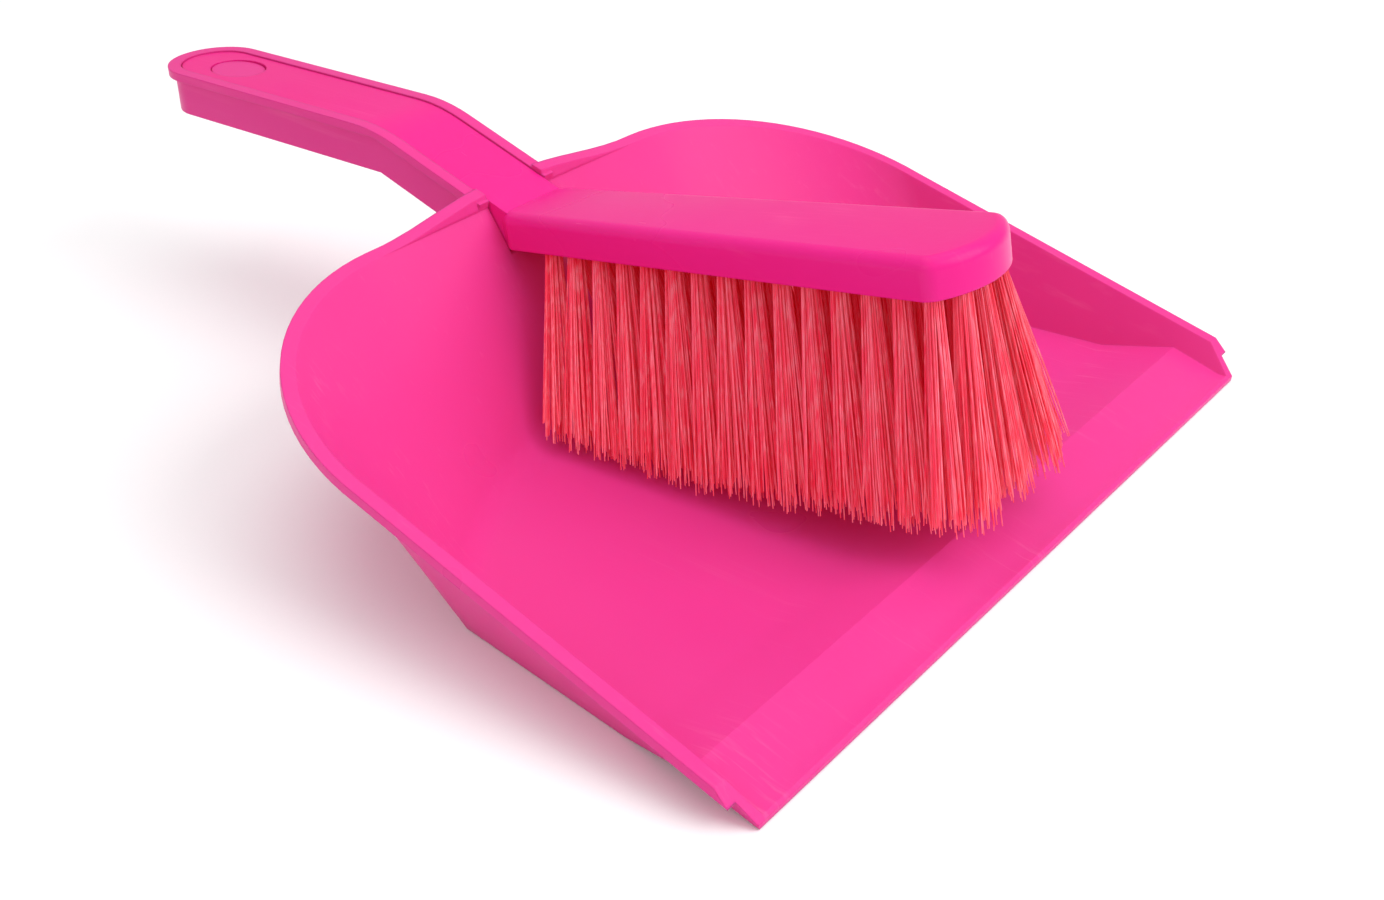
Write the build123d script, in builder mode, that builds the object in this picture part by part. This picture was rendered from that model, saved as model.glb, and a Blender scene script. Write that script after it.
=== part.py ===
from build123d import *
import os
from math import atan, cos, radians, sin, sqrt

# Dust pan and brush set: a scoop with a trough for a handle, and a hand brush nested in it.
# +Z is up, the sweeping lip faces -Y and the handle points to +Y.
# The origin is on the standing surface, under the middle of the set.
# Lengths are in millimetres. "Reach" is a distance measured back from the sweeping lip.

# Driving dimensions.
set_length = 311.0
lip_width = 230.0
wall = 2.0

rim_front_height = 7.3
rim_slope = 0.262
rim_reach = 172.0
rim_half_front = 119.8
rim_half_back = 116.6
rim_corner_radius = 63.5
rim_back_bow = 0.4
rim_overhang = 1.6
rim_depth = 2.6
crown_height = 54.9
crown_flat_half = 17.0
crown_half = 53.0

base_half_back = 104.0
base_back_reach = 137.0
base_back_radius = 140.0
base_back_flat = 0.6
base_split_half = 50.0
floor_blend = 12.0

crease_reach = 37.5
crest_reach = 17.5
crest_height = 6.0
rim_end_length = 8.0
lip_thickness = 1.2

trough_half = 13.2
trough_depth = 13.6
bend_reach = 209.0
bend_height = 66.0
bend_radius = 55.0
bend_under_radius = 10.0
grip_slope = -0.028
handle_lip_half = 14.9
lip_corner_radius = 3.0
lip_corner_drop = 0.1

nose_overhang = 2.2
clearance = 0.35
boss_reach = 285.5
boss_half_width = 7.2
boss_half_length = 9.4
boss_drop = 0.9

block_pitch = 11.3
block_heel_reach = 159.0
block_heel_height = 42.4
block_heel_half = 13.2
block_front_half = 18.0
block_side_length = 135.6
block_nose_length = 7.4
block_heel_thickness = 8.2
block_front_thickness = 10.0
block_edge_radius = 3.2
block_corner_radius = 5.0
neck_length = 3.6
brush_drop = 0.4
brush_depth = 10.9
brush_wall = 2.4

hole_radius = 2.35
hole_depth = 6.5
tuft_root_radius = 2.15
tuft_tip_radius = 3.4
rank_count = 15
rank_first = 12.2
rank_pitch = 8.7
rank_margin = 4.6
narrow_ranks = 5
last_rank_run = 138.4
last_rank_outer = 8.0
last_tip_reach = 8.0
last_tip_outer = 17.0
last_tip_drop = 3.2
tip_reach_first = 122.0
tip_reach_last = 12.0
tip_outer_first = 36.0
tip_outer_last = 24.5
tip_lowest = 6.6
tip_front_height = 19.2
tip_slope = 0.165
staple_size = (4.4, 1.5, 0.6)

collar_wall = 1.3
crown_shoulder = 0.97
lip_land = 1.5
ramp_root = 4.0
trough_start = 160.0
brush_handle_start = 162.0
brush_hollow_start = 178.0
staple_gap = 0.1
tuft_gap = 0.3

# How far the tub is drawn ahead of the lip before its open front is cut.
ahead = 4.0
# How far joining and cutting shapes run into each other, and a length that passes right through.
overlap = 2.0
through = 120.0
near = 0.01

front_y = -set_length / 2


def y_at(reach):
    """The Y coordinate at a distance back from the lip."""
    return front_y + reach


# Shared geometry of the pan.
rim_angle = atan(rim_slope)
neck_slope = (bend_height - crown_height) / (bend_reach - rim_reach)


def rim_height(reach):
    return rim_front_height + rim_slope * reach


def grip_height(reach):
    """Height of the top of the grip."""
    return bend_height + grip_slope * (reach - bend_reach)


def base_arc_reach(half):
    """Reach of the base's curved back edge at a distance from the middle."""
    return base_back_reach - base_back_radius + sqrt(base_back_radius**2 - half**2)


def rim_plane(lift):
    """The plane of the rim, which rises towards the handle, or one parallel to it."""
    plane = Plane(
        origin=(0, y_at(0), rim_front_height),
        x_dir=(1, 0, 0),
        z_dir=(0, -sin(rim_angle), cos(rim_angle)),
    )
    return plane.offset(lift)


def tub_outline(front, side, middle, split, back):
    """A closed outline of the tub: front edge, straight sides, corner arcs and back edge."""
    mirrored = [(-x, y) for x, y in (front, side, middle, split)]
    Line(mirrored[0], mirrored[1])
    ThreePointArc(*mirrored[1:])
    ThreePointArc(mirrored[3], back, split)
    ThreePointArc(split, middle, side)
    Line(side, front)
    Line(front, mirrored[0])


def base_sketch(inset, height):
    """The tub's outline at the base, inset from the outside of the wall."""
    side_half = base_half_back - inset
    split_half = base_split_half
    middle_half = (side_half + split_half) / 2
    splay = (lip_width / 2 - base_half_back) / base_arc_reach(side_half)
    front_half = lip_width / 2 - inset + splay * ahead
    with BuildSketch(Plane.XY.offset(height)) as outline:
        with BuildLine():
            front = (front_half, y_at(-ahead))
            side = (side_half, y_at(base_arc_reach(side_half) - inset))
            middle = (middle_half, y_at(base_arc_reach(middle_half) - inset))
            split = (split_half, y_at(base_arc_reach(split_half) - inset))
            tub_outline(front, side, middle, split, (0, y_at(base_back_reach - inset - base_back_flat)))
        make_face()
    return outline.sketch


def rim_sketch(inset, lift):
    """The outline at the rim, inset from the outside of the rolled edge."""
    radius = rim_corner_radius - inset
    side_half = rim_half_back - inset
    corner_reach = rim_reach - rim_corner_radius
    diagonal = radius * sqrt(0.5)
    stretch = 1 / cos(rim_angle)
    with BuildSketch(rim_plane(lift)) as outline:
        with BuildLine():
            front = (rim_half_front - inset, -ahead)
            side = (side_half, corner_reach * stretch)
            middle = (side_half - radius + diagonal, (corner_reach + diagonal) * stretch)
            split = (side_half - radius, (rim_reach - inset) * stretch)
            tub_outline(front, side, middle, split, (0, split[1] + rim_back_bow))
        make_face()
    return outline.sketch


def handle_bar(half, top_drop, bottom_drop, start, end):
    """A bar that follows the handle: up from the rim, round the bend and along the grip."""
    start_height = bend_height - neck_slope * (bend_reach - start)
    end_height = grip_height(end)
    with BuildPart() as bar:
        with BuildSketch(Plane.YZ) as side:
            with BuildLine():
                Polyline(
                    (y_at(start), start_height - top_drop),
                    (y_at(bend_reach), bend_height - top_drop),
                    (y_at(end), end_height - top_drop),
                    (y_at(end), end_height - bottom_drop),
                    (y_at(bend_reach), bend_height - bottom_drop),
                    (y_at(start), start_height - bottom_drop),
                    close=True,
                )
            make_face()
            bends = side.vertices().filter_by(lambda v: abs(v.X - y_at(bend_reach)) < near)
            under, upper = bends.sort_by(Axis.Y)
            fillet(upper, radius=bend_radius)
            fillet(under, radius=bend_under_radius)
        extrude(amount=half, both=True)
        with BuildSketch(Plane.XY):
            with Locations((0, (y_at(start) + y_at(end - half)) / 2)):
                Rectangle(2 * half, end - half - start)
            with Locations((0, y_at(end - half))):
                Circle(half)
        extrude(amount=through, mode=Mode.INTERSECT)
    return bar.part


# Dust pan.
tub_outside = loft([base_sketch(0.0, 0.0), rim_sketch(rim_overhang, 0.0)], ruled=True)
rim_band = extrude(rim_sketch(0.0, 0.0), amount=-rim_depth)
inner_inset = rim_overhang + wall
tub_core = loft([base_sketch(wall, wall), rim_sketch(inner_inset, 0.0)], ruled=True)
tub_headroom = extrude(rim_sketch(inner_inset, 0.0), amount=crown_height / 2)
with BuildPart() as tub_inside:
    add(tub_core)
    low_edges = tub_inside.edges().group_by(Axis.Z)[0]
    floor_edges = low_edges.filter_by(lambda e: e.center().Y > y_at(base_back_reach / 2))
    fillet(floor_edges, radius=floor_blend)
    add(tub_headroom)

trough_end = set_length - nose_overhang
trough_outside = handle_bar(trough_half, 0.0, trough_depth, trough_start, trough_end)
trough_lip = handle_bar(handle_lip_half, 0.0, rim_depth, trough_start, set_length)
trough_inside = handle_bar(
    trough_half - wall, -trough_depth, trough_depth - wall, trough_start - trough_half, trough_end - wall
)

# The plane of the crown's inner face, which leans back half as much as the back wall.
wall_lean = atan((rim_reach - inner_inset - base_back_reach + wall) / (rim_height(rim_reach) - wall))
crown_lean = wall_lean / 2
crown_plane = Plane(
    origin=(0, y_at(rim_reach - inner_inset), rim_height(rim_reach - inner_inset)),
    x_dir=(-1, 0, 0),
    z_dir=(0, cos(crown_lean), -sin(crown_lean)),
)
crown_rise = (crown_height - rim_height(rim_reach - inner_inset)) / cos(crown_lean)

# The lip's rounded inside corners, where the handle leaves the rim.
wide_lip = handle_bar(
    handle_lip_half + lip_corner_radius, lip_corner_drop, rim_depth, trough_start, trough_end
)
with BuildPart() as lip_corners:
    with BuildSketch(Plane.XY):
        with BuildLine():
            corner_x = handle_lip_half + lip_corner_radius
            corner_y = rim_reach + lip_corner_radius
            diagonal_cut = lip_corner_radius * sqrt(0.5)
            Polyline(
                (handle_lip_half, y_at(corner_y)),
                (handle_lip_half - overlap, y_at(corner_y)),
                (handle_lip_half - overlap, y_at(rim_reach - overlap)),
                (corner_x, y_at(rim_reach - overlap)),
                (corner_x, y_at(rim_reach)),
            )
            ThreePointArc(
                (corner_x, y_at(rim_reach)),
                (corner_x - diagonal_cut, y_at(corner_y - diagonal_cut)),
                (handle_lip_half, y_at(corner_y)),
            )
        make_face()
        mirror(about=Plane.YZ)
    extrude(amount=through)
    add(wide_lip, mode=Mode.INTERSECT)

# The sheet from the crease over the crest down to the sweeping lip; it is hollow below.
hollow_reach = crease_reach + wall / 2
with BuildPart() as front_ramp:
    with BuildSketch(Plane.YZ):
        with BuildLine():
            Polyline(
                (y_at(hollow_reach), 0),
                (y_at(crest_reach), crest_height - wall),
                (y_at(lip_land), 0),
                (y_at(0), 0),
                (y_at(0), lip_thickness),
                (y_at(crest_reach), crest_height),
                (y_at(crease_reach), wall),
                (y_at(crease_reach + ramp_root), wall),
                (y_at(crease_reach + ramp_root), 0),
                close=True,
            )
        make_face()
    extrude(amount=lip_width, both=True)
    add(tub_outside, mode=Mode.INTERSECT)

with BuildPart() as dust_pan:
    add(tub_outside)
    # The rolled rim round the tub, and its crown at the handle.
    add(rim_band)
    with BuildSketch(crown_plane):
        with BuildLine():
            crown = Spline(
                (-crown_half, 0),
                (-crown_flat_half, crown_rise * crown_shoulder),
                (crown_flat_half, crown_rise * crown_shoulder),
                (crown_half, 0),
                tangents=((1, 0), (1, 0)),
            )
            Line(crown @ 1, crown @ 0)
        make_face()
    extrude(amount=inner_inset, dir=(0, cos(rim_angle), sin(rim_angle)))
    add(trough_outside)
    add(trough_lip)
    add(lip_corners.part)
    add(tub_inside.part, mode=Mode.SUBTRACT)
    add(trough_inside, mode=Mode.SUBTRACT)
    # Everything ahead of the lip is cut away, and the hollow under the ramp.
    with BuildSketch(Plane.YZ):
        with BuildLine():
            Polyline(
                (y_at(-2 * ahead), -overlap),
                (y_at(-2 * ahead), crown_height),
                (y_at(rim_end_length), crown_height),
                (y_at(rim_end_length), rim_height(rim_end_length)),
                (y_at(0), lip_thickness),
                (y_at(0), 0),
                (y_at(lip_land), 0),
                (y_at(crest_reach), crest_height - wall),
                (y_at(hollow_reach), 0),
                (y_at(hollow_reach), -overlap),
                close=True,
            )
        make_face()
    extrude(amount=lip_width, both=True, mode=Mode.SUBTRACT)
    add(front_ramp.part)
    # The oval boss that fills the brush's hanging hole, hollow from below.
    boss_top = grip_height(boss_reach) - boss_drop
    with BuildSketch(Plane.XY.offset(boss_top)):
        with Locations((0, y_at(boss_reach))):
            Ellipse(boss_half_width, boss_half_length)
    extrude(amount=-(trough_depth - wall / 2 - boss_drop))
    with BuildSketch(Plane.XY.offset(boss_top - wall)):
        with Locations((0, y_at(boss_reach))):
            Ellipse(boss_half_width - wall, boss_half_length - wall)
    extrude(amount=-trough_depth, mode=Mode.SUBTRACT)

# Tufts: where each one starts and where its tip is.
pitch = radians(block_pitch)
block_plane = Plane(
    origin=(0, y_at(block_heel_reach), block_heel_height),
    x_dir=(-1, 0, 0),
    z_dir=(0, sin(pitch), cos(pitch)),
)


def block_half(run):
    """Half width of the block at a distance from its heel."""
    return block_heel_half + (block_front_half - block_heel_half) * run / block_side_length


def tuft_lines(rank):
    """Root and tip of every tuft in a rank that crosses the block."""
    share = min(rank / (rank_count - 1), 1.0)
    run = rank_first + rank_pitch * rank
    outer = block_half(run) - rank_margin
    count = 3 if rank < narrow_ranks else 4
    tip_outer = tip_outer_first + (tip_outer_last - tip_outer_first) * share
    tip_reach = tip_reach_first + (tip_reach_last - tip_reach_first) * share
    tip_height = max(tip_lowest, tip_front_height - tip_slope * tip_reach)
    if rank == rank_count:
        # The short last rank follows the rounded front end.
        run = last_rank_run
        outer = last_rank_outer
        count = 3
        tip_outer = last_tip_outer
        tip_reach = last_tip_reach
        tip_height = tip_front_height - last_tip_drop
    lines = []
    for place in range(count):
        side = 2 * place / (count - 1) - 1
        root = block_plane.from_local_coords(Vector(side * outer, run, 0))
        tip = Vector(-side * tip_outer, y_at(tip_reach), tip_height)
        lines.append((root, tip))
    return lines


all_ranks = [tuft_lines(rank) for rank in range(rank_count + 1)]

# Brush body.
brush_end = trough_end - wall - clearance
handle_half = trough_half - wall - clearance
with BuildPart() as brush_block:
    with BuildSketch(block_plane) as block_face:
        with BuildLine():
            nose = block_side_length + block_nose_length
            Polyline(
                (-block_front_half, block_side_length),
                (-block_heel_half, 0),
                (-handle_half, -neck_length),
                (handle_half, -neck_length),
                (block_heel_half, 0),
                (block_front_half, block_side_length),
            )
            ThreePointArc(
                (block_front_half, block_side_length), (0, nose), (-block_front_half, block_side_length)
            )
        make_face()
        front_corners = block_face.vertices().filter_by(lambda v: abs(v.Y - block_side_length) < near)
        fillet(front_corners, radius=block_corner_radius)
    extrude(amount=block_front_thickness)
    # The back of the block thins towards the heel.
    with BuildSketch(Plane(origin=block_plane.origin, x_dir=block_plane.y_dir, z_dir=(1, 0, 0))):
        with BuildLine():
            Polyline(
                (-neck_length - overlap, block_heel_thickness),
                (nose + overlap, block_front_thickness),
                (nose + overlap, block_front_thickness + overlap),
                (-neck_length - overlap, block_front_thickness + overlap),
                close=True,
            )
        make_face()
    extrude(amount=block_front_half, both=True, mode=Mode.SUBTRACT)
    top_face = brush_block.faces().sort_by(Axis((0, 0, 0), tuple(block_plane.z_dir)))[-1]
    fillet(top_face.edges(), radius=block_edge_radius)

brush_handle = handle_bar(handle_half, brush_drop, brush_depth, brush_handle_start, brush_end)
hollow_half = handle_half - brush_wall
hollow_drop = brush_drop + brush_wall
hollow_end = brush_end - brush_wall
brush_hollow = handle_bar(hollow_half, hollow_drop, trough_depth, brush_hollow_start, hollow_end)

with BuildPart() as brush_body:
    add(brush_block.part)
    add(brush_handle)
    add(brush_hollow, mode=Mode.SUBTRACT)
    # A collar round the hanging hole, then the hole itself.
    collar_half = boss_half_width + clearance
    collar_length = boss_half_length + clearance
    with BuildSketch(Plane.XY.offset(grip_height(boss_reach) - brush_drop - brush_wall / 2)):
        with Locations((0, y_at(boss_reach))):
            Ellipse(collar_half + collar_wall, collar_length + collar_wall)
    extrude(amount=-(brush_depth - brush_drop - brush_wall))
    with BuildSketch(Plane.XY.offset(grip_height(boss_reach) + overlap)):
        with Locations((0, y_at(boss_reach))):
            Ellipse(collar_half, collar_length)
    extrude(amount=-through, mode=Mode.SUBTRACT)
    # One drilled hole for each tuft.
    for root, tip in sum(all_ranks, []):
        inward = (root - tip).normalized()
        with BuildSketch(Plane(origin=root - inward * overlap, z_dir=inward)):
            Circle(hole_radius)
        extrude(amount=hole_depth + overlap, mode=Mode.SUBTRACT)

# Write the nodes.
os.makedirs("parts", exist_ok=True)
dust_pan.part.label = "dust_pan"
export_step(dust_pan.part, "parts/dust_pan.step")
brush_body.part.label = "brush_body"
export_step(brush_body.part, "parts/brush_body.step")

# Tufts and their staples.
for rank, lines in enumerate(all_ranks):
    with BuildPart() as tufts:
        for root, tip in lines:
            outward = (tip - root).normalized()
            start = root - outward * (hole_depth - staple_gap - staple_size[2] - tuft_gap)
            with BuildSketch(Plane(origin=start, z_dir=outward)):
                Circle(tuft_root_radius)
            with BuildSketch(Plane(origin=root, z_dir=outward)):
                Circle(tuft_root_radius)
            loft(ruled=True)
            with BuildSketch(Plane(origin=root, z_dir=outward)):
                Circle(tuft_root_radius)
            with BuildSketch(Plane(origin=tip, z_dir=outward)):
                Circle(tuft_tip_radius)
            loft(ruled=True)
    tufts.part.label = f"tufts_rank_{rank + 1:02d}"
    export_step(tufts.part, f"parts/{tufts.part.label}.step")

    with BuildPart() as staples:
        for root, tip in lines:
            outward = (tip - root).normalized()
            seat = root - outward * (hole_depth - staple_gap - staple_size[2] / 2)
            with Locations(Plane(origin=seat, z_dir=outward)):
                Box(*staple_size)
    staples.part.label = f"staples_rank_{rank + 1:02d}"
    export_step(staples.part, f"parts/{staples.part.label}.step")
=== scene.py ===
import bpy
import bmesh
import math
import random
from mathutils import Matrix, Vector


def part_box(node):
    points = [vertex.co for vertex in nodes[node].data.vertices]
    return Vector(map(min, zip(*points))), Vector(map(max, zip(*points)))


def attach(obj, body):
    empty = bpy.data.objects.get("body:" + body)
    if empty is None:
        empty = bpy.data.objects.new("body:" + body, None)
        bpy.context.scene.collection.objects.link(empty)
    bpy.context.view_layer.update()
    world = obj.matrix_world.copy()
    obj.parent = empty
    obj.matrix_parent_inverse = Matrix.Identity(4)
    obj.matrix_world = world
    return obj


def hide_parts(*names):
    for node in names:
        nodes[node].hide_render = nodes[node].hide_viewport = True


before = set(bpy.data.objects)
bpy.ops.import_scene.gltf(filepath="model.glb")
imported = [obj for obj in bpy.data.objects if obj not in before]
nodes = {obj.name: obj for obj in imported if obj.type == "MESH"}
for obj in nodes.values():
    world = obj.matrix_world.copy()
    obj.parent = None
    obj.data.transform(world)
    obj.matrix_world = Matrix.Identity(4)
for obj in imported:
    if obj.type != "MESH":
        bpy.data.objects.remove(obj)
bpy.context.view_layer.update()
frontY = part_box("dust_pan")[0].y        # the sweeping lip
print("frame loaded:", len(nodes), "parts")


def clearSelection():
    if bpy.context.mode != "OBJECT":
        bpy.ops.object.mode_set(mode="OBJECT")
    bpy.ops.object.select_all(action="DESELECT")


def pick(obj):
    clearSelection()
    obj.select_set(True)
    bpy.context.view_layer.objects.active = obj


def dress(obj, mat):
    obj.data.materials.clear()
    obj.data.materials.append(mat)


def newFinish(name):
    mat = bpy.data.materials.new(name)
    mat.use_nodes = True
    return mat, mat.node_tree, mat.node_tree.nodes["Principled BSDF"]


def setSockets(node, values):
    for socket, value in values.items():
        node.inputs[socket].default_value = value


def mixColour(nt, factor, a, b):
    mix = nt.nodes.new("ShaderNodeMix")
    mix.data_type = "RGBA"
    nt.links.new(factor, mix.inputs["Factor"])
    for socket, value in (("A", a), ("B", b)):
        if hasattr(value, "is_linked"):
            nt.links.new(value, mix.inputs[socket])
        else:
            mix.inputs[socket].default_value = (*value, 1)
    return mix.outputs["Result"]


def combine(nt, operation, a, b):
    node = nt.nodes.new("ShaderNodeMath")
    node.operation = operation
    for socket, value in enumerate((a, b)):
        if hasattr(value, "is_linked"):
            nt.links.new(value, node.inputs[socket])
        else:
            node.inputs[socket].default_value = value
    return node.outputs[0]


def stretchedNoise(nt, coord, scale, stretch, turn=0.0, detail=3.0):
    mapping = nt.nodes.new("ShaderNodeMapping")
    setSockets(mapping, {"Scale": stretch, "Rotation": (0, 0, turn)})
    nt.links.new(coord.outputs["Object"], mapping.inputs["Vector"])
    noise = nt.nodes.new("ShaderNodeTexNoise")
    setSockets(noise, {"Scale": scale, "Detail": detail})
    nt.links.new(mapping.outputs["Vector"], noise.inputs["Vector"])
    return noise.outputs["Fac"]


def ramp(nt, value, low, high, toLow=0.0, toHigh=1.0):
    node = nt.nodes.new("ShaderNodeMapRange")
    setSockets(node, {"From Min": low, "From Max": high, "To Min": toLow, "To Max": toHigh})
    nt.links.new(value, node.inputs["Value"])
    return node.outputs["Result"]


def addBump(nt, height, strength, distance):
    bump = nt.nodes.new("ShaderNodeBump")
    setSockets(bump, {"Strength": strength, "Distance": distance})
    nt.links.new(height, bump.inputs["Height"])
    return bump


clearSelection()

# camera
cameraSettings = {
    "fromLip": (-0.317, -0.141, 0.238),   # place, counted from the middle of the lip
    "right": (0.6157, -0.7880, 0.0),
    "up": (0.4114, 0.3214, 0.8530),
    "lens": 44.22,
    "sensor": 36,
    "clip": (0.01, 50),
}


def makeCamera(s):
    bpy.ops.object.camera_add()
    cam = bpy.context.object
    cam.name = "mainCamera"
    right = Vector(s["right"]).normalized()
    up = Vector(s["up"])
    up = (up - right * up.dot(right)).normalized()
    back = right.cross(up)
    turn = Matrix((right, up, back)).transposed()
    place = Vector(s["fromLip"]) + Vector((0, frontY, 0))
    cam.matrix_world = Matrix.Translation(place) @ turn.to_4x4()
    cam.data.lens = s["lens"]
    cam.data.sensor_width = s["sensor"]
    cam.data.clip_start, cam.data.clip_end = s["clip"]
    cam.data.dof.use_dof = False
    bpy.context.scene.camera = cam


makeCamera(cameraSettings)
print("camera placed")

# pale floor under a soft sky, lit by three soft boxes
studio = {
    "floorSpan": 14,
    "floorDrop": 0.0002,              # keeps the paper just below the pan
    "floorColour": (0.93, 0.93, 0.93),
    "floorSpeck": 0.985,              # the paper's darker specks, against its colour
    "floorGrain": 900,
    "floorRoughness": 0.85,
    "floorGloss": 0.2,
    "skyAbove": (1.0, 1.0, 1.0),
    "skyLow": (0.60, 0.60, 0.60),     # the sky is darker near the horizon
    "skyBlend": (0.25, 0.85),
    "skyStrength": 0.78,
    "boxes": [
        # name, place, aim, size, watts, colour
        ("keyBox", (0.45, -1.15, 1.05), (0.0, 0.0, 0.03), 1.1, 14.5, (1.0, 0.985, 1.0)),
        ("topBox", (0.15, 0.1, 1.5), (0.0, 0.0, 0.0), 1.4, 7, (1.0, 0.99, 1.0)),
        ("fillBox", (-1.25, -0.25, 0.8), (0.0, 0.0, 0.03), 0.9, 3.0, (1.0, 1.0, 1.0)),
    ],
}


def makeFloor(s):
    bpy.ops.mesh.primitive_plane_add(size=1.0)
    floor = bpy.context.object
    floor.name = "studioFloor"
    bpy.ops.object.mode_set(mode="EDIT")
    bpy.ops.mesh.select_all(action="SELECT")
    bpy.ops.transform.resize(value=(s["floorSpan"], s["floorSpan"], 1))
    bpy.ops.transform.translate(value=(0, 0, -s["floorDrop"]))
    bpy.ops.object.mode_set(mode="OBJECT")
    mat, nt, bsdf = newFinish("floorPaper")
    setSockets(bsdf, {"Roughness": s["floorRoughness"], "Specular IOR Level": s["floorGloss"]})
    coord = nt.nodes.new("ShaderNodeTexCoord")
    grain = nt.nodes.new("ShaderNodeTexNoise")
    grain.inputs["Scale"].default_value = s["floorGrain"]
    nt.links.new(coord.outputs["Object"], grain.inputs["Vector"])
    speck = tuple(c * s["floorSpeck"] for c in s["floorColour"])
    paper = mixColour(nt, grain.outputs["Fac"], s["floorColour"], speck)
    nt.links.new(paper, bsdf.inputs["Base Color"])
    dress(floor, mat)


def makeSky(s):
    world = bpy.data.worlds.new("studioSky")
    bpy.context.scene.world = world
    world.use_nodes = True
    nt = world.node_tree
    sky = nt.nodes["Background"]
    sky.inputs["Strength"].default_value = s["skyStrength"]
    heading = nt.nodes.new("ShaderNodeTexCoord")
    parts = nt.nodes.new("ShaderNodeSeparateXYZ")
    nt.links.new(heading.outputs["Generated"], parts.inputs["Vector"])
    height = ramp(nt, parts.outputs["Z"], *s["skyBlend"])
    nt.links.new(mixColour(nt, height, s["skyLow"], s["skyAbove"]), sky.inputs["Color"])


def makeLights(s):
    for name, place, aim, size, watts, colour in s["boxes"]:
        clearSelection()
        bpy.ops.object.light_add(type="AREA", location=place)
        lamp = bpy.context.object
        lamp.name = name
        lamp.data.shape = "SQUARE"
        lamp.data.size = size
        lamp.data.energy = watts
        lamp.data.color = colour
        direction = Vector(aim) - Vector(place)
        lamp.rotation_euler = direction.to_track_quat("-Z", "Y").to_euler()


makeFloor(studio)
makeSky(studio)
makeLights(studio)
bpy.context.scene.view_settings.view_transform = "Standard"
bpy.context.scene.view_settings.look = "None"
print("studio ready")

# moulded plastic: one recipe, tinted apart for the pan and the brush
panFinish = {
    "name": "pinkPanPlastic",
    "colour": (0.75, 0.044, 0.268),
    "deep": (0.72, 0.036, 0.250),
    "wear": (1.0, 0.30, 0.52),
    "roughness": (0.27, 0.40),
    "glow": 0.16,                     # light that travels inside the thin wall
    "scratchScale": 800.0,
    "scratchDepth": 0.10,
}
brushFinish = {
    "name": "pinkBrushPlastic",
    "colour": (0.74, 0.018, 0.250),
    "deep": (0.71, 0.014, 0.220),
    "wear": (1.0, 0.26, 0.46),
    "roughness": (0.24, 0.36),
    "glow": 0.12,
    "scratchScale": 900.0,
    "scratchDepth": 0.06,
    "through": (1.0, 0.0, 0.10),      # painted glow: red emission that brightens the block's shaded sides, though it is no lamp
    "throughStrength": 0.07,
}
plastic = {
    "gloss": 0.12,
    "ior": 1.49,
    "glowRadius": (1.0, 0.18, 0.42),
    "glowScale": 0.004,
    "driftScale": 9.0,                # slow colour drift
    "driftBlend": (0.35, 0.65),
    "patchScale": 22.0,               # patches where the scratches gather
    "patchBlend": (0.50, 0.70),
    "polishBlend": (0.3, 0.7),
    "alongStretch": (1.0, 0.022, 0.35),
    "alongTurn": 0.10,
    "alongBlend": (0.55, 0.78),
    "askewFiner": 0.8,
    "askewStretch": (1.0, 0.025, 0.4),
    "askewTurn": -0.45,
    "askewBlend": (0.66, 0.85, 0.0, 0.35),
    "wearShare": 0.20,
    "wearDulls": 0.12,
    "peelScale": 420.0,               # orange peel of the mould
    "peelRelief": (0.06, 0.0003),
    "cutDistance": 0.0002,
    "edgeRadius": 0.0006,             # softened moulded edges
    "edgeSamples": 4,
}


def scratchMask(nt, coord, patch, s, p):
    # fine scratches along the sweeping direction, and a weaker set askew
    along = stretchedNoise(nt, coord, s["scratchScale"], p["alongStretch"], p["alongTurn"])
    askewScale = s["scratchScale"] * p["askewFiner"]
    askew = stretchedNoise(nt, coord, askewScale, p["askewStretch"], p["askewTurn"])
    lines = ramp(nt, along, *p["alongBlend"])
    gathered = combine(nt, "MULTIPLY", lines, ramp(nt, patch, *p["patchBlend"]))
    return combine(nt, "MAXIMUM", gathered, ramp(nt, askew, *p["askewBlend"]))


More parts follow.
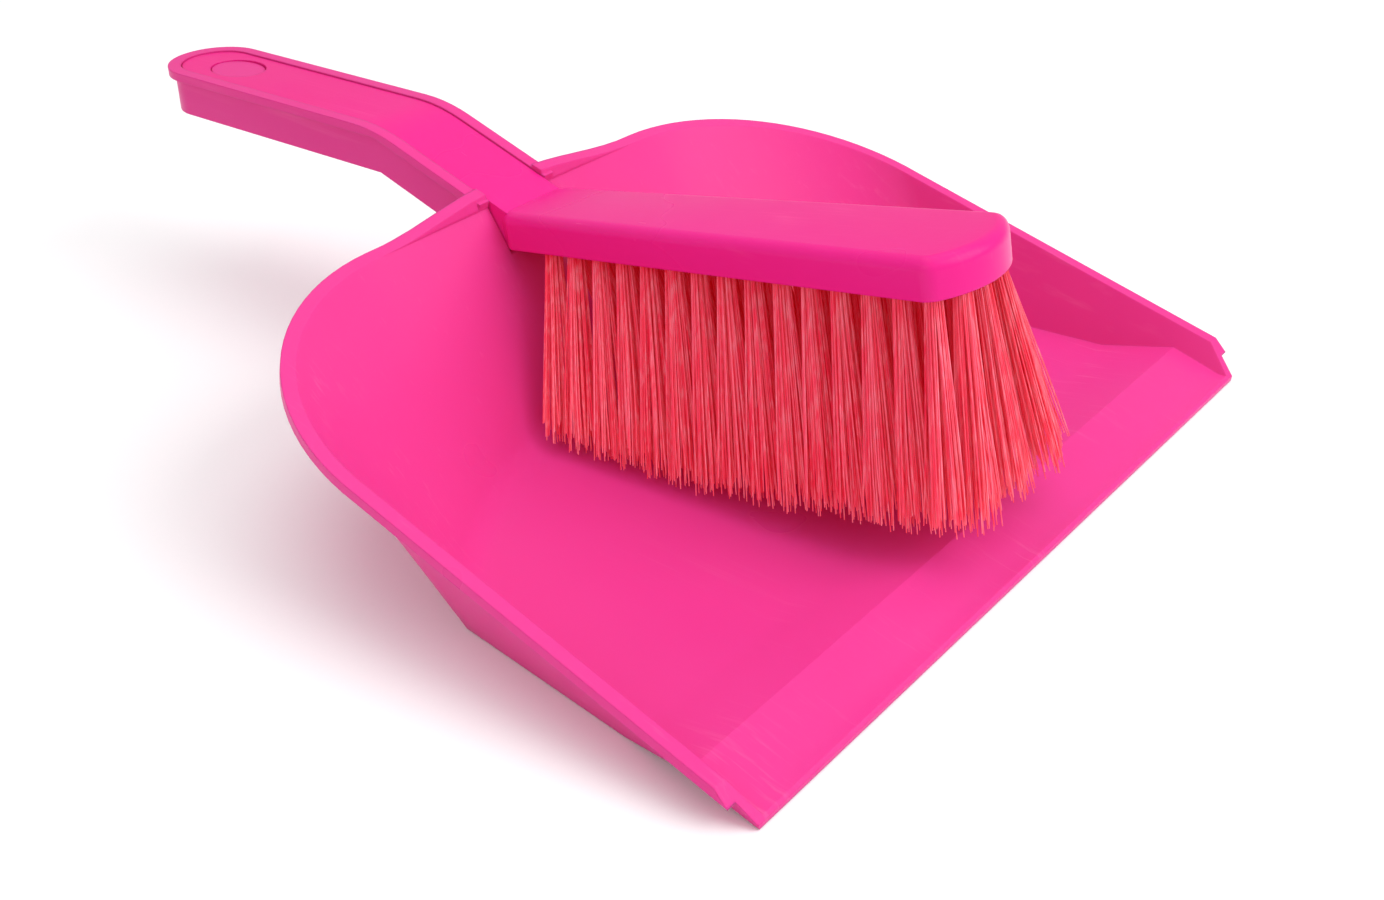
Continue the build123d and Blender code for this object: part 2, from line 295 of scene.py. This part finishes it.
def plasticFinish(s, p):
    mat, nt, bsdf = newFinish(s["name"])
    coord = nt.nodes.new("ShaderNodeTexCoord")
    drift = stretchedNoise(nt, coord, p["driftScale"], (1, 1, 1), detail=2.0)
    patch = stretchedNoise(nt, coord, p["patchScale"], (1, 1, 1), detail=2.0)
    peel = stretchedNoise(nt, coord, p["peelScale"], (1, 1, 1), detail=2.0)
    scratches = scratchMask(nt, coord, patch, s, p)
    # colour: the drift, then the paler worn lines
    base = mixColour(nt, ramp(nt, drift, *p["driftBlend"]), s["colour"], s["deep"])
    worn = combine(nt, "MULTIPLY", scratches, p["wearShare"])
    nt.links.new(mixColour(nt, worn, base, s["wear"]), bsdf.inputs["Base Color"])
    # roughness: uneven polish, duller where it is scratched
    polish = ramp(nt, patch, *p["polishBlend"], *s["roughness"])
    dulled = ramp(nt, scratches, 0.0, 1.0, 0.0, p["wearDulls"])
    nt.links.new(combine(nt, "ADD", polish, dulled), bsdf.inputs["Roughness"])
    # relief: soft edges, then the mould's peel, then the scratches cut in
    softEdge = nt.nodes.new("ShaderNodeBevel")
    softEdge.samples = p["edgeSamples"]
    softEdge.inputs["Radius"].default_value = p["edgeRadius"]
    bump = addBump(nt, peel, *p["peelRelief"])
    nt.links.new(softEdge.outputs["Normal"], bump.inputs["Normal"])
    cut = addBump(nt, scratches, s["scratchDepth"], p["cutDistance"])
    cut.invert = True
    nt.links.new(bump.outputs["Normal"], cut.inputs["Normal"])
    nt.links.new(cut.outputs["Normal"], bsdf.inputs["Normal"])
    setSockets(bsdf, {
        "Subsurface Weight": s["glow"],
        "Subsurface Radius": p["glowRadius"],
        "Subsurface Scale": p["glowScale"],
        "IOR": p["ior"],
        "Specular IOR Level": p["gloss"],
    })
    # painted glow: a faint red emission lifts the shaded sides of the block
    if "through" in s:
        bsdf.inputs["Emission Color"].default_value = (*s["through"], 1)
        bsdf.inputs["Emission Strength"].default_value = s["throughStrength"]
    return mat


strandPlastic = {
    "name": "coralBristle",
    "dark": (0.92, 0.026, 0.085),
    "light": (1.0, 0.150, 0.235),
    "pale": (1.0, 0.42, 0.50),        # painted highlight: pale glints along a strand
    "glintScale": 500.0,
    "glintStretch": (1, 1, 0.08),
    "glintBlend": (0.45, 0.72, 0.0, 0.42),
    "roughBlend": (0.3, 0.7, 0.30, 0.42),
    "relief": (0.12, 0.0001),
    "glow": 0.3,
    "glowRadius": (1.0, 0.2, 0.15),
    "glowScale": 0.001,
    "gloss": 0.45,
    "ior": 1.5,
    "through": (0.95, 0.004, 0.02),   # painted glow: red emission that lifts the shaded strands and the gaps between tufts
    "throughStrength": 0.05,
}


def bristleFinish(s):
    mat, nt, bsdf = newFinish(s["name"])
    strand = nt.nodes.new("ShaderNodeAttribute")
    strand.attribute_name = "strandTone"
    coord = nt.nodes.new("ShaderNodeTexCoord")
    glints = stretchedNoise(nt, coord, s["glintScale"], s["glintStretch"], detail=2.0)
    tone = mixColour(nt, strand.outputs["Fac"], s["dark"], s["light"])
    # painted highlight: pale glints mixed into the strand's colour
    paintedGlintColour = mixColour(nt, ramp(nt, glints, *s["glintBlend"]), tone, s["pale"])
    nt.links.new(paintedGlintColour, bsdf.inputs["Base Color"])
    nt.links.new(ramp(nt, glints, *s["roughBlend"]), bsdf.inputs["Roughness"])
    bump = addBump(nt, glints, *s["relief"])
    nt.links.new(bump.outputs["Normal"], bsdf.inputs["Normal"])
    setSockets(bsdf, {
        "Subsurface Weight": s["glow"],
        "Subsurface Radius": s["glowRadius"],
        "Subsurface Scale": s["glowScale"],
        "Specular IOR Level": s["gloss"],
        "IOR": s["ior"],
        # painted glow: the strands emit a faint red, though they are no lamp
        "Emission Color": (*s["through"], 1),
        "Emission Strength": s["throughStrength"],
    })
    return mat


drawnWire = {
    "name": "stapleWire",
    "dark": (0.50, 0.48, 0.45),
    "light": (0.66, 0.64, 0.60),
    "lineScale": 900.0,               # fine lines left by drawing the wire
    "lineStretch": (0.05, 1, 1),
    "roughBlend": (0.3, 0.7, 0.28, 0.45),
}


def wireFinish(s):
    mat, nt, bsdf = newFinish(s["name"])
    bsdf.inputs["Metallic"].default_value = 1.0
    coord = nt.nodes.new("ShaderNodeTexCoord")
    lines = stretchedNoise(nt, coord, s["lineScale"], s["lineStretch"], detail=2.0)
    nt.links.new(mixColour(nt, lines, s["dark"], s["light"]), bsdf.inputs["Base Color"])
    nt.links.new(ramp(nt, lines, *s["roughBlend"]), bsdf.inputs["Roughness"])
    return mat


panPlastic = plasticFinish(panFinish, plastic)
brushPlastic = plasticFinish(brushFinish, plastic)
coralBristle = bristleFinish(strandPlastic)
stapleWire = wireFinish(drawnWire)
print("finishes ready")

# moulded parts: welded copies of the solids, smooth over their soft corners
weldDistance = 0.000004
panMoulding = {
    "name": "panMoulding",
    "node": "dust_pan",
    "body": "pan",
    "slot": "pan_plastic",
    "crispAngle": 26,                 # sharper edges stay crisp, in degrees
}
brushMoulding = {
    "name": "brushMoulding",
    "node": "brush_body",
    "body": "brush",
    "slot": "brush_plastic",
    "crispAngle": 26,
}


def makeMoulding(s, mat):
    source = nodes[s["node"]]
    piece = source.copy()
    piece.data = source.data.copy()
    for key in list(piece.keys()):
        del piece[key]
    piece.name = s["name"]
    piece.parent = None
    bpy.context.scene.collection.objects.link(piece)
    pick(piece)
    bpy.ops.object.mode_set(mode="EDIT")
    bpy.ops.mesh.select_all(action="SELECT")
    bpy.ops.mesh.remove_doubles(threshold=weldDistance)
    bpy.ops.mesh.customdata_custom_splitnormals_clear()
    bpy.ops.object.mode_set(mode="OBJECT")
    bpy.ops.object.shade_smooth_by_angle(angle=math.radians(s["crispAngle"]))
    dress(piece, mat)
    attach(piece, s["body"])
    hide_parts(s["node"])
    print(s["name"], "shaped,", len(piece.data.polygons), "faces")


makeMoulding(panMoulding, panPlastic)
makeMoulding(brushMoulding, brushPlastic)

# the pan's inner floor, which no strand may pass
panFloor = {
    "height": 0.002,
    "corner": 0.012,                  # radius of the soft corner at the back
    "steepest": 0.0119,               # how far into the corner still counts
    "backRadius": 0.138,
    "backCentre": -0.003,
}


def floorHeight(x, reach, s):
    wallReach = s["backCentre"] + math.sqrt(max(s["backRadius"] ** 2 - x * x, 0))
    into = reach - (wallReach - s["corner"])
    if into <= 0:
        return s["height"]
    into = min(into, s["steepest"])
    return s["height"] + s["corner"] - math.sqrt(s["corner"] ** 2 - into ** 2)


# bristles: every tuft is a fan of separate strands
bristles = {
    "radius": 0.00019,
    "sides": 5,
    "segments": 6,
    "cutTaper": 0.75,
    "crispAngle": 60,
    "perTuft": 68,
    "goldenTurn": 2.39996,            # spreads the roots evenly over the hole
    "turnUneven": 0.25,
    "rootSpread": 0.00185,            # keeps the strands inside the drilled hole
    "tipSpread": 0.0045,
    "tipUneven": (0.86, 1.12),
    "length": (0.93, 1.03),           # shortest and longest, against the tuft
    "jitter": 0.0007,
    "floorGap": 0.0012,
    "bow": 0.0011,
    "bowOutward": (-0.2, 1.0),
    "bowPeak": 0.8,
    "curl": 0.0006,
    "curlPower": 6,                   # the curl stays near the cut end
    "tuftTone": (0.42, 0.62),
    "strandTone": 0.42,
    "rootBand": 0.0022,               # points this near a tuft's ends mark its axis
    "tipBand": 0.0032,
    "seed": 41,
}


def makeStrand(s):
    # one straight strand of unit length along Z, a little thinner at its cut end
    clearSelection()
    bpy.ops.mesh.primitive_circle_add(
        vertices=s["sides"], radius=s["radius"], fill_type="NGON"
    )
    strand = bpy.context.object
    strand.name = "strand"
    rise = (0, 0, 1.0 / s["segments"])
    bpy.ops.object.mode_set(mode="EDIT")
    bpy.ops.mesh.select_all(action="SELECT")
    for step in range(s["segments"]):
        bpy.ops.mesh.extrude_region_move(TRANSFORM_OT_translate={"value": rise})
    bpy.ops.transform.resize(value=(s["cutTaper"], s["cutTaper"], 1))
    bpy.ops.mesh.select_all(action="SELECT")
    bpy.ops.mesh.normals_make_consistent(inside=False)
    bpy.ops.object.mode_set(mode="OBJECT")
    bpy.ops.object.shade_smooth_by_angle(angle=math.radians(s["crispAngle"]))
    return strand


def looseIslands(bm):
    seen, islands = set(), []
    for first in bm.verts:
        if first in seen:
            continue
        island, stack = [], [first]
        seen.add(first)
        while stack:
            vert = stack.pop()
            island.append(vert.co.copy())
            for edge in vert.link_edges:
                other = edge.other_vert(vert)
                if other not in seen:
                    seen.add(other)
                    stack.append(other)
        islands.append(island)
    return islands


def tuftAxes(node, s):
    # root and tip of each tapered solid in the node, from left to right
    bm = bmesh.new()
    bm.from_mesh(nodes[node].data)
    bmesh.ops.remove_doubles(bm, verts=bm.verts, dist=weldDistance)
    axes = []
    for island in looseIslands(bm):
        top = max(p.z for p in island)
        low = min(p.z for p in island)
        upper = [p for p in island if p.z > top - s["rootBand"]]
        lower = [p for p in island if p.z < low + s["tipBand"]]
        root = sum(upper, Vector()) / len(upper)
        tip = sum(lower, Vector()) / len(lower)
        axes.append((root, tip))
    bm.free()
    return sorted(axes, key=lambda axis: axis[0].x)


def bendStrand(strand, root, end, bow, curl, s):
    line = end - root
    way = line.normalized()
    u = way.cross(Vector((0, 1, 0.01))).normalized()
    w = way.cross(u)
    for v in strand.data.vertices:
        t = v.co.z
        bowed = bow * math.sin(math.pi * t * s["bowPeak"]) * t
        place = root + line * t + bowed + curl * t ** s["curlPower"]
        v.co = place + u * v.co.x + w * v.co.y


def growTuft(master, start, tip, s, rng, tone):
    axis = tip - start
    along = axis.normalized()
    side = along.cross(Vector((0, 1, 0))).normalized()
    across = along.cross(side)
    strands = []
    for i in range(s["perTuft"]):
        # where the strand is rooted, and where it ends
        turn = i * s["goldenTurn"] + rng.uniform(-s["turnUneven"], s["turnUneven"])
        out = math.sqrt((i + 0.5) / s["perTuft"])
        offset = side * math.cos(turn) + across * math.sin(turn)
        root = start + offset * out * s["rootSpread"]
        reachOut = out * s["tipSpread"] * rng.uniform(*s["tipUneven"])
        end = start + axis * rng.uniform(*s["length"]) + offset * reachOut
        end += Vector([rng.uniform(-1, 1) * s["jitter"] for k in range(3)])
        ground = floorHeight(end.x, end.y - frontY, panFloor) + s["floorGap"]
        if end.z < ground:
            end = root + (end - root) * ((root.z - ground) / (root.z - end.z))
        # how it bows on the way, and curls at its cut end
        bow = offset.cross(along) * rng.uniform(-1, 1) * s["bow"]
        bow += offset * rng.uniform(*s["bowOutward"]) * s["bow"]
        curl = Vector([rng.uniform(-1, 1) for k in range(3)]) * s["curl"]
        strand = master.copy()
        strand.data = master.data.copy()
        bendStrand(strand, root, end, bow, curl, s)
        value = tone + rng.uniform(-s["strandTone"], s["strandTone"])
        shade = strand.data.attributes.new("strandTone", "FLOAT", "POINT")
        shade.data.foreach_set("value", [min(max(value, 0), 1)] * len(strand.data.vertices))
        bpy.context.scene.collection.objects.link(strand)
        strands.append(strand)
    return strands


def makeBristles(s):
    rng = random.Random(s["seed"])
    master = makeStrand(s)
    dress(master, coralBristle)
    ranks = sorted(n for n in nodes if n.startswith("tufts_rank_"))
    for node in ranks:
        strands = []
        for start, tip in tuftAxes(node, s):
            tone = rng.uniform(*s["tuftTone"])
            strands += growTuft(master, start, tip, s, rng, tone)
        clearSelection()
        for strand in strands:
            strand.select_set(True)
        bpy.context.view_layer.objects.active = strands[0]
        bpy.ops.object.join()
        piece = bpy.context.object
        piece.name = node.replace("tufts_rank_", "bristles_rank_")
        piece.data.name = piece.name
        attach(piece, "brush")
        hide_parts(node)
    bpy.data.objects.remove(master)
    print("bristles grown:", len(ranks), "ranks")


makeBristles(bristles)

# the CAD solids' own finishes, by the start of their names
solidFinishes = {
    "staples": stapleWire,
    "dust_pan": panPlastic,
    "brush_body": brushPlastic,
    "tufts": coralBristle,
}
for name, obj in nodes.items():
    for start, mat in solidFinishes.items():
        if name.startswith(start):
            dress(obj, mat)
print("solids dressed")

clearSelection()
